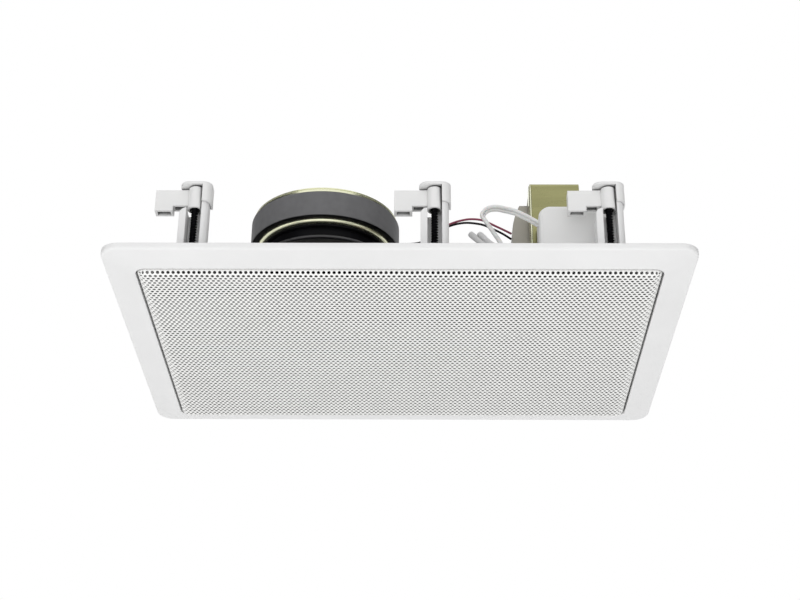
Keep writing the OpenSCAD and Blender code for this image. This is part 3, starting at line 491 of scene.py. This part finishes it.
def make_piece(name, points, faces, material, body, nodes=()):
    """A mesh piece that rides on a body, where one is given, and stands for the named solids."""
    data = bpy.data.meshes.new(name)
    data.from_pydata(points, [], faces)
    data.validate()
    form = bmesh.new()
    form.from_mesh(data)
    bmesh.ops.recalc_face_normals(form, faces=form.faces)
    form.to_mesh(data)
    form.free()
    data.materials.append(MATERIALS[material])
    piece = bpy.data.objects.new(name, data)
    bpy.context.collection.objects.link(piece)
    if body:
        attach(piece, body)
    if nodes:
        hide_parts(*nodes)
    return piece


def smooth(piece, angle):
    """Smooth faces, with edges sharper than the angle in degrees kept crisp."""
    piece.data.shade_smooth()
    piece.data.set_sharp_from_angle(angle=math.radians(angle))
    return piece


def ring_faces(count, sides):
    """Quads between successive rings of points."""
    faces = []
    for i in range(count - 1):
        for k in range(sides):
            a = i * sides + k
            b = i * sides + (k + 1) % sides
            faces.append((a, b, b + sides, a + sides))
    return faces


def capped_faces(count, sides):
    """Quads between successive rings, with the first and the last ring closed."""
    last = (count - 1) * sides
    ends = [tuple(range(sides - 1, -1, -1)), tuple(range(last, last + sides))]
    return ring_faces(count, sides) + ends


ROUTE_STEPS = 6


def smooth_route(points):
    """A smooth curve through the points of a route, finely divided."""
    route = [Vector(p) for p in points]
    ends = [route[0] * 2 - route[1]] + route + [route[-1] * 2 - route[-2]]
    fine = []
    for i in range(1, len(ends) - 2):
        a, b, c, d = ends[i - 1:i + 3]
        for step in range(ROUTE_STEPS):
            t = step / ROUTE_STEPS
            fine.append(0.5 * (2 * b + (c - a) * t + (2 * a - 5 * b + 4 * c - d) * t ** 2
                               + (3 * b - a - 3 * c + d) * t ** 3))
    fine.append(route[-1])
    return fine


def sweep(route, section):
    """Points and faces of a closed tube: a flat section carried along a route."""
    points = []
    for i, place in enumerate(route):
        along = (route[min(i + 1, len(route) - 1)] - route[max(i - 1, 0)]).normalized()
        u = Vector((0.0, 1.0, 0.0)).cross(along).normalized()
        v = along.cross(u)
        points += [place + u * x + v * y for x, y in section]
    return points, capped_faces(len(route), len(section))


def circle(radius, sides):
    """Corners of a regular figure about the origin."""
    steps = (2 * math.pi * k / sides for k in range(sides))
    return [(radius * math.cos(a), radius * math.sin(a)) for a in steps]


def lathe(profile, sides, place):
    """Points and faces of a closed turned solid from (radius, height) pairs."""
    points = [place @ Vector((x, y, z)) for r, z in profile for x, y in circle(r, sides)]
    return points, capped_faces(len(profile), sides)


def turned_ring(profile, sides, centre):
    """Points and faces of a ring turned about z, from a closed (radius, height) outline."""
    left, front = centre[0], centre[1]
    points = [Vector((left + x, front + y, z)) for r, z in profile for x, y in circle(r, sides)]
    faces = ring_faces(len(profile), sides)
    last = len(points) - sides
    faces += [(last + k, last + (k + 1) % sides, (k + 1) % sides, k) for k in range(sides)]
    return points, faces


def joined(*forms):
    """Several point and face lists as one."""
    points, faces = [], []
    for more_points, more_faces in forms:
        start = len(points)
        points += more_points
        faces += [tuple(start + k for k in face) for face in more_faces]
    return points, faces


# Grille: perforated sheet rolled over at its edges

HOLE_PITCH = 3.5 * MM
HOLE_RADIUS = 1.2 * MM
HOLE_SIDES = 8
ROW_GAP = HOLE_PITCH * math.sqrt(3) / 2
SHEET = 0.47 * MM
EDGE_RADIUS = 6.5 * MM
QUARTER = EDGE_RADIUS * math.pi / 2
HOLED_ARC = 5.6 * MM
GRILLE_CREASE = 50.0
CELL_RIM = ((1, 0), (1, 1), (0, 1), (-1, 1), (-1, 0), (-1, -1), (0, -1), (1, -1))
# Name, and the first and last column of holes
GRILLE_PARTS = (("grille_left", -54, -17), ("grille_middle", -17, 17), ("grille_right", 17, 54))


def bent(u, v, flat, deep):
    """A point of the flat blank once its edges are rolled, on the sheet's face or its back."""
    over = [max(0.0, abs(a) - b) for a, b in zip((u, v), flat)]
    arc = max(over)
    turn = min(arc, QUARTER) / EDGE_RADIUS
    radius = EDGE_RADIUS - (SHEET if deep else 0.0)
    facing = math.atan2(over[1], over[0])
    reach = radius * math.sin(turn)
    x = min(abs(u), flat[0]) + reach * math.cos(facing)
    y = min(abs(v), flat[1]) + reach * math.sin(facing)
    z = EDGE_RADIUS - radius * math.cos(turn) + max(0.0, arc - QUARTER)
    return Vector((math.copysign(x, u), math.copysign(y, v), z))


def grille_part(name, first, last):
    """A stretch of the sheet: each hole has its own cell, and plain cells run to the edge."""
    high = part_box("grille")[1]
    flat = [high[0] - EDGE_RADIUS, high[1] - EDGE_RADIUS]
    ends = [a + QUARTER + high[2] - EDGE_RADIUS for a in flat]
    rows = math.ceil(ends[1] / ROW_GAP)
    index, points, faces, border = {}, [], [], {}

    def at(u, v, deep):
        u, v = (max(-end, min(end, a)) for a, end in zip((u, v), ends))
        key = (round(u / MM, 3), round(v / MM, 3), deep)
        if key not in index:
            index[key] = len(points)
            points.append(bent(u, v, flat, deep))
        return index[key]

    for row in range(-rows, rows + 1):
        for column in range(first, last):
            u = (column + row % 2 / 2) * HOLE_PITCH
            v = row * ROW_GAP
            if abs(u) - HOLE_PITCH / 2 >= ends[0] or abs(v) - ROW_GAP / 2 >= ends[1]:
                continue
            rim = [(u + x * HOLE_PITCH / 2, v + y * ROW_GAP / 2) for x, y in CELL_RIM]
            front, back = ([at(*p, deep) for p in rim] for deep in (False, True))
            turns = [(k, (k + 1) % len(rim)) for k in range(len(rim))]
            for k, m in turns:
                if front[k] == front[m]:
                    continue
                if (front[m], front[k]) in border:
                    del border[front[m], front[k]]
                else:
                    border[front[k], front[m]] = (back[k], back[m])
            if max(abs(u) - flat[0], abs(v) - flat[1]) > HOLED_ARC:
                faces.append(list(dict.fromkeys(front)))
                faces.append(list(dict.fromkeys(reversed(back))))
                continue
            hole = [(u + x, v + y) for x, y in circle(HOLE_RADIUS, HOLE_SIDES)]
            near, far = ([at(*p, deep) for p in hole] for deep in (False, True))
            for k, m in turns:
                faces.append((front[k], front[m], near[m], near[k]))
                faces.append((back[m], back[k], far[k], far[m]))
                faces.append((near[k], near[m], far[m], far[k]))
    for (a, b), (c, d) in border.items():
        faces.append((b, a, c, d))
    smooth(make_piece(name, points, faces, "white_sheet", "frame", ["grille"]), GRILLE_CREASE)


# Motor: turned back plate and front plate, glue ring that also paints the shade under the magnet,
# and the basket's seat and bead, the bead with a painted highlight

PLATE_SIDES = 128
PLATE_CREASE = 30.0
PLATE_CHAMFER = 0.6 * MM
BACK_PLATE_H = 4.5 * MM
BACK_PLATE_TRIM = 1.0 * MM
VENT_RADIUS = 4.0 * MM
POLE_RADIUS = 12.0 * MM
GROOVE_SHARE = 0.66
GROOVE_DEPTH = 0.7 * MM
PLATE_ROUND = 2.6 * MM
PLATE_BORE = 14.3 * MM
PLATE_STEPS = 8
SEAT_INNER = 45.8 * MM
SEAT_OUTER = 49.4 * MM
SEAT_T = 1.5 * MM
GLUE_AND_SHADE_T = 0.4 * MM
GLUE_AND_SHADE_TRIM = 0.5 * MM
BEAD_Z = 70.0 * MM
BEAD_RADIUS = 50.0 * MM
BEAD_HALF = 1.3 * MM
BEAD_SIDES = 12
BEAD_CREASE = 60.0


def turned_piece(name, profile, centre, material, nodes=(), crease=PLATE_CREASE):
    """A ring of the motor or the basket, turned about z."""
    piece = make_piece(name, *turned_ring(profile, PLATE_SIDES, centre), material, "frame", nodes)
    return smooth(piece, crease)


def make_yoke():
    """Back plate with its turned groove, and the pole with its vent."""
    low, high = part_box("yoke")
    centre = (low + high) / 2
    edge = (high[0] - low[0]) / 2 - BACK_PLATE_TRIM
    base = high[2] - BACK_PLATE_H
    groove = base + BACK_PLATE_H * GROOVE_SHARE
    half = GROOVE_DEPTH / 2
    profile = [(VENT_RADIUS, low[2]), (POLE_RADIUS, low[2]), (POLE_RADIUS, base),
               (edge - half, base), (edge, base + half), (edge, groove - half),
               (edge - GROOVE_DEPTH, groove), (edge, groove + half),
               (edge, high[2] - PLATE_CHAMFER), (edge - PLATE_CHAMFER, high[2]),
               (VENT_RADIUS, high[2])]
    turned_piece("yoke_turned", profile, centre, "yellow_plated_steel", ["yoke"])


def make_front_plate():
    """Pressed plate whose lower rim is well rounded."""
    low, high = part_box("front_plate")
    edge = (high[0] - low[0]) / 2
    turns = [math.pi / 2 * k / PLATE_STEPS for k in range(PLATE_STEPS + 1)]
    rim = [(edge - PLATE_ROUND * (1 - math.sin(t)), low[2] + PLATE_ROUND * (1 - math.cos(t)))
           for t in turns]
    profile = [(PLATE_BORE, low[2])] + rim + [(edge, high[2]), (PLATE_BORE, high[2])]
    turned_piece("front_plate_turned", profile, (low + high) / 2,
                 "yellow_plated_steel", ["front_plate"])


def make_basket_seat():
    """Flat rim of the basket that carries the front plate, and the bead on its shoulder, in a
    lighter, glossier black as a painted highlight.
    """
    low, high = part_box("front_plate")
    centre = (low + high) / 2
    seat = [(SEAT_INNER, low[2] - SEAT_T), (SEAT_OUTER, low[2] - SEAT_T),
            (SEAT_OUTER, low[2]), (SEAT_INNER, low[2])]
    turned_piece("basket_seat", seat, centre, "black_sheet")
    bead = [(BEAD_RADIUS + r, BEAD_Z + z) for r, z in circle(BEAD_HALF, BEAD_SIDES)]
    piece = turned_piece("basket_bead", bead, centre, "black_sheet", crease=BEAD_CREASE)
    # Painted highlight on the bead: lighter, glossier black than the basket's
    piece.data.materials[0] = MATERIALS["bead_paint"]


def make_glue_and_shade_ring():
    """Black adhesive pressed out all round between the magnet and the front plate; the black ring
    is also painted shade on the magnet's underside, under its overhang.
    """
    low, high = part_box("magnet")
    plate_low, plate_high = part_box("front_plate")
    inner = (plate_high[0] - plate_low[0]) / 2 - GLUE_AND_SHADE_TRIM
    outer = (high[0] - low[0]) / 2 - GLUE_AND_SHADE_TRIM
    base = low[2] - GLUE_AND_SHADE_T
    profile = [(inner, base), (outer, base), (outer, low[2]), (inner, low[2])]
    # Painted shade: the black ring darkens the magnet's underside where its overhang shades it
    turned_piece("glue_and_shade_ring", profile, (low + high) / 2, "black_sheet")


# Spider and surround: soft rings in sectors, each running from the basket to the moving cone

FLEX_SECTORS = 16
FLEX_STEPS = 6
FLEX_CREASE = 40.0
SPIDER_INNER = 13.05 * MM
SPIDER_T = 0.6 * MM
SPIDER_WAVE = 1.4 * MM
SPIDER_ROLLS = 5
SPIDER_STEPS = 40
SURROUND_LIP_T = 0.5 * MM
SURROUND_LIP_W = 1.5 * MM
SURROUND_T = 0.8 * MM
ROLL_STEPS = 14


def flexing_ring(node, outline):
    """Sectors turned from an outline, each running between an inner and an outer radius."""
    low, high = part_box(node)
    centre = Vector(((low[0] + high[0]) / 2, (low[1] + high[1]) / 2, 0.0))
    for k in range(FLEX_SECTORS):
        turns = [2 * math.pi * (k + step / FLEX_STEPS) / FLEX_SECTORS
                 for step in range(FLEX_STEPS + 1)]
        points = [centre + Vector((r * math.cos(a), r * math.sin(a), z))
                  for a in turns for r, z in outline]
        faces = capped_faces(len(turns), len(outline))
        piece = make_piece("%s_%02d" % (node, k), points, faces, SLOTS[node], None, [node])
        middle = (turns[0] + turns[-1]) / 2
        outward = Vector((math.cos(middle), math.sin(middle), 0.0))
        outward *= math.cos(math.pi / FLEX_SECTORS)
        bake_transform(piece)
        smooth(piece, FLEX_CREASE)


def make_spider():
    """Corrugated cloth disc between the basket and the cone's neck."""
    low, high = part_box("spider")
    outer = (high[0] - low[0]) / 2
    level = (low[2] + high[2] + SPIDER_T) / 2
    upper = []
    for i in range(SPIDER_STEPS + 1):
        share = i / SPIDER_STEPS
        rise = SPIDER_WAVE * math.sin(2 * math.pi * SPIDER_ROLLS * share)
        upper.append((SPIDER_INNER + (outer - SPIDER_INNER) * share, level + rise))
    outline = upper + [(r, z - SPIDER_T) for r, z in reversed(upper)]
    flexing_ring("spider", outline)


def make_surround():
    """Rubber half roll between the basket's rim and the cone."""
    low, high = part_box("surround")
    lip = (high[0] - low[0]) / 2
    level = high[2] - SURROUND_LIP_T
    half = level - low[2]
    middle = lip - SURROUND_LIP_W - half
    turns = [math.pi * k / ROLL_STEPS for k in range(ROLL_STEPS + 1)]
    outline = [(lip, high[2]), (lip, level)]
    outline += [(middle + half * math.cos(t), level - half * math.sin(t)) for t in turns]
    roll = half - SURROUND_T
    outline += [(middle + roll * math.cos(t), level - roll * math.sin(t)) for t in reversed(turns)]
    outline.append((middle + roll, high[2]))
    flexing_ring("surround", outline)


# Transformer: the strap's left edge is folded back round the core

LIP_DEPTH = 9.0 * MM
LIP_T = 0.9 * MM
LIP_BEND = 1.5 * MM
LIP_PROUD = 0.35 * MM
LIP_STEPS = 6
LIP_CREASE = 30.0


def make_bracket_lip():
    """Folded strip with a rounded outer corner, in the paler yellow plating as a painted highlight
    along the bend.
    """
    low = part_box("transformer_bracket")[0]
    core_low, core_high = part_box("transformer_core")
    left, front = core_low[0], low[1] - LIP_PROUD
    turns = [math.pi / 2 * k / LIP_STEPS for k in range(LIP_STEPS + 1)]
    bend = [(left - LIP_T + LIP_BEND * (1 - math.sin(t)), front + LIP_BEND * (1 - math.cos(t)))
            for t in turns]
    outline = bend[::-1] + [(left + LIP_BEND, front + LIP_T), (left, front + LIP_DEPTH),
                            (left - LIP_T, front + LIP_DEPTH)]
    bottom, top = core_low[2], core_high[2] - LIP_BEND
    points = [Vector((x, y, z)) for z in (bottom, top) for x, y in outline]
    faces = capped_faces(2, len(outline))
    # Painted highlight: the lip takes the pale yellow plating, not the strap's olive
    smooth(make_piece("bracket_lip", points, faces, "yellow_plated_steel", "frame"), LIP_CREASE)


# Clamp screws: black rods with a coarse rolled thread

THREAD_PITCH = 2.1 * MM
THREAD_DEPTH = 1.1 * MM
THREAD_CREST = 2.5 * MM
THREAD_SHARPNESS = 1.4
THREAD_SIDES = 16
THREAD_STEPS = 10
SCREW_HEAD_H = 2.4 * MM
SCREW_HEAD_R = 3.9 * MM
# Shares of the head's radius and height, from the round recess in it to the shank
HEAD_PROFILE = ((0.5, 0.45), (0.5, 0.0), (0.8, 0.0), (1.0, 0.3), (1.0, 1.0), (0.4, 1.0))
HEAD_SIDES = 24
SCREW_CREASE = 35.0


def clamp_screw(seat):
    """A threaded rod, whose thread runs out at both ends, with its head."""
    node = "screw_" + seat
    low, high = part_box(node)
    centre = (low + high) / 2
    start, end = low[2] + SCREW_HEAD_H, high[2]
    count = int((end - start) / THREAD_PITCH * THREAD_STEPS)
    points = []
    for i in range(count + 1):
        z = start + (end - start) * i / count
        ends = min(1.0, i / THREAD_STEPS, (count - i) / THREAD_STEPS)
        for k in range(THREAD_SIDES):
            turn = k / THREAD_SIDES
            wave = 0.5 + 0.5 * math.cos(2 * math.pi * (z / THREAD_PITCH - turn))
            r = THREAD_CREST - THREAD_DEPTH * (1 - wave ** THREAD_SHARPNESS * ends)
            a = 2 * math.pi * turn
            points.append(Vector((centre[0] + r * math.cos(a), centre[1] + r * math.sin(a), z)))
    thread = points, capped_faces(count + 1, THREAD_SIDES)
    profile = [(r * SCREW_HEAD_R, h * SCREW_HEAD_H) for r, h in HEAD_PROFILE]
    head = lathe(profile, HEAD_SIDES, Matrix.Translation((centre[0], centre[1], low[2])))
    piece = make_piece(node + "_thread", *joined(thread, head),
                       "black_steel", "clamp_screw_" + seat, [node])
    smooth(piece, SCREW_CREASE)


# Leads: routes in millimetres, starting at the box, the transformer or the terminal strip

SUPPLY_ROUTE = (
    (101, -92.2, 52.5), (97.2, -92, 55.4), (91.5, -91, 59.9), (88.1, -90, 62.7),
    (81.3, -88, 67.7), (74.5, -84, 72.2), (69, -81, 75.3), (64.1, -80, 75.4),
    (60.5, -79.5, 73.5), (58.6, -80, 69.4), (60.6, -80.5, 65), (63, -81, 60.5),
    (65.4, -81.5, 56.1), (67.4, -82, 52.2), (69.3, -82.3, 48.6), (71, -82.6, 44.5),
    (72, -82.6, 38), (72.2, -82.4, 33), (72.3, -82.4, 28),
)
TAIL_ROUTES = (
    ((72.3, -83.4, 28.5), (71.6, -85.4, 24), (69.5, -89, 23), (68, -90, 28),
     (65.3, -90.05, 32.9), (62.1, -89.8, 36.4)),
    ((72.3, -81.4, 28.5), (74, -82.4, 23.5), (77.5, -86.5, 22), (76, -89.8, 26.5),
     (72.4, -90.3, 31.6), (69.1, -90, 35.1)),
)
PRIMARY_ROUTES = (
    ((83, -50, 52), (79, -56, 45), (75, -66, 36), (70, -77, 30), (68, -82, 26.5),
     (67.4, -86.5, 28.8), (65.3, -88.25, 32.9), (62.1, -88, 36.4)),
    ((83, -56, 50), (80.5, -62, 42), (78, -72, 34), (78.5, -80, 28.5), (76, -86, 27.5),
     (72.4, -88.5, 31.6), (69.1, -88.2, 35.1)),
)
RED_ROUTE = (
    (-2.2, -50.2, 59.1), (0.3, -52, 59.7), (5.2, -54.1, 60.2), (11, -55.9, 60.3),
    (16.8, -57.2, 61.2), (22.6, -58.4, 65.3), (30, -59.5, 71.4), (38.5, -60.1, 75.8),
    (46.8, -60.1, 78.3), (52.6, -60.1, 78.8), (58.6, -60, 78.1), (63.5, -59.8, 76.1),
    (67.6, -59.6, 73.9), (74, -58, 71.4), (80.5, -55.5, 69.2),
)
BLACK_ROUTE = (
    (-8.6, -56.6, 59.1), (-5.6, -58.2, 58.7), (0.3, -59.4, 58.2), (8.3, -59.9, 58.1),
    (15.4, -60.5, 59.3), (21.6, -61.3, 63.4), (29.2, -62.3, 68.8), (35.8, -62.4, 71.7),
    (41.6, -62.4, 73.5), (48.1, -62.4, 74.3), (55.7, -62.2, 73.6), (61.1, -62, 72.2),
    (69.2, -61, 68.6), (74.9, -59, 66.4), (80.1, -56.3, 64.2),
)
CRIMP_TIPS = ((49.9, -88, 49.4), (56, -88, 49.2))
CRIMP_FEET = ((63.5, -89, 34.9), (70.5, -89.2, 33.6))
LEAD_RADIUS = 0.8 * MM
TWIN_RADIUS = 1.3 * MM
TWIN_OFFSET = 1.25 * MM
TWIN_HALF_WEB = 0.15 * MM
TWIN_STEPS = 14
TWIN_LEAN = math.radians(32.0)
LEAD_SIDES = 14
LEAD_CREASE = 60.0


def metres(points):
    return [Vector(p) * MM for p in points]


def twin_section():
    """Flat twin cable: two round cores with a narrow web, leaning so that the groove shows."""
    gap = math.asin(TWIN_HALF_WEB / TWIN_RADIUS)
    outline = []
    for side in (1, -1):
        for k in range(TWIN_STEPS + 1):
            a = math.pi - gap - k * (2 * math.pi - 2 * gap) / TWIN_STEPS
            across = TWIN_RADIUS * math.sin(a) * side
            outline.append((across, side * (TWIN_OFFSET + TWIN_RADIUS * math.cos(a))))
    c, s = math.cos(TWIN_LEAN), math.sin(TWIN_LEAN)
    return [(x * c - y * s, x * s + y * c) for x, y in outline]


def tube(name, route, section, material, nodes):
    """A lead along its route, and the finely divided route itself."""
    path = smooth_route(metres(route))
    piece = make_piece(name, *sweep(path, section), material, "frame", nodes)
    return smooth(piece, LEAD_CREASE), path


def free_lead(name, route, section, material, nodes):
    """A lead along its route."""
    piece, path = tube(name, route, section, material, nodes)


def make_leads():
    """The supply cable with its two tails, and the four thin leads."""
    round_lead = circle(LEAD_RADIUS, LEAD_SIDES)
    tails = [tube("cable_tail_%d" % k, route, round_lead, "white_sheath", ["supply_cable"])[0]
             for k, route in enumerate(TAIL_ROUTES)]
    free_lead("supply_cable_twin", SUPPLY_ROUTE, twin_section(), "white_sheath",
              ["supply_cable"])
    free_lead("red_lead_wire", RED_ROUTE, round_lead,
              "red_insulation", ["red_lead"])
    free_lead("black_lead_wire", BLACK_ROUTE, round_lead,
              "black_insulation", ["black_lead"])
    for k, route in enumerate(PRIMARY_ROUTES):
        free_lead("primary_lead_%d" % k, route, round_lead,
                  "white_sheath", ["primary_leads"])


# Crimp caps: radius in millimetres against the share of the length, from the open foot to the tip
CRIMP_OUTSIDE = (
    (2.8, 0.0), (2.85, 0.12), (2.75, 0.32), (2.55, 0.4), (2.2, 0.48), (2.05, 0.6), (2.1, 0.72),
    (2.3, 0.82), (2.3, 0.98), (1.9, 1.05), (0.8, 1.08),
)
CRIMP_SOCKET = ((0.5, 0.33), (2.2, 0.3), (2.2, 0.0))
CRIMP_SIDES = 24
CRIMP_CREASE = 50.0


def make_crimps():
    """Closed-end crimp caps: open skirt, pinched waist, round tip and a socket for the wires."""
    for k, (tip, foot) in enumerate(zip(metres(CRIMP_TIPS), metres(CRIMP_FEET))):
        axis = tip - foot
        profile = [(r * MM, t * axis.length) for r, t in CRIMP_SOCKET + CRIMP_OUTSIDE]
        place = Matrix.Translation(foot) @ axis.to_track_quat("Z", "Y").to_matrix().to_4x4()
        piece = make_piece("crimp_cap_%d" % k, *lathe(profile, CRIMP_SIDES, place),
                           "clear_nylon", "frame", ["crimp_connectors"])
        smooth(piece, CRIMP_CREASE)


make_camera()
make_surroundings()
for light in LIGHTS:
    area_light(*light)
make_cards()
dress_cad_nodes()
for part in GRILLE_PARTS:
    grille_part(*part)
make_yoke()
make_front_plate()
make_basket_seat()
make_glue_and_shade_ring()
make_spider()
make_surround()
make_bracket_lip()
for seat in SEATS:
    clamp_screw(seat)
make_leads()
make_crimps()
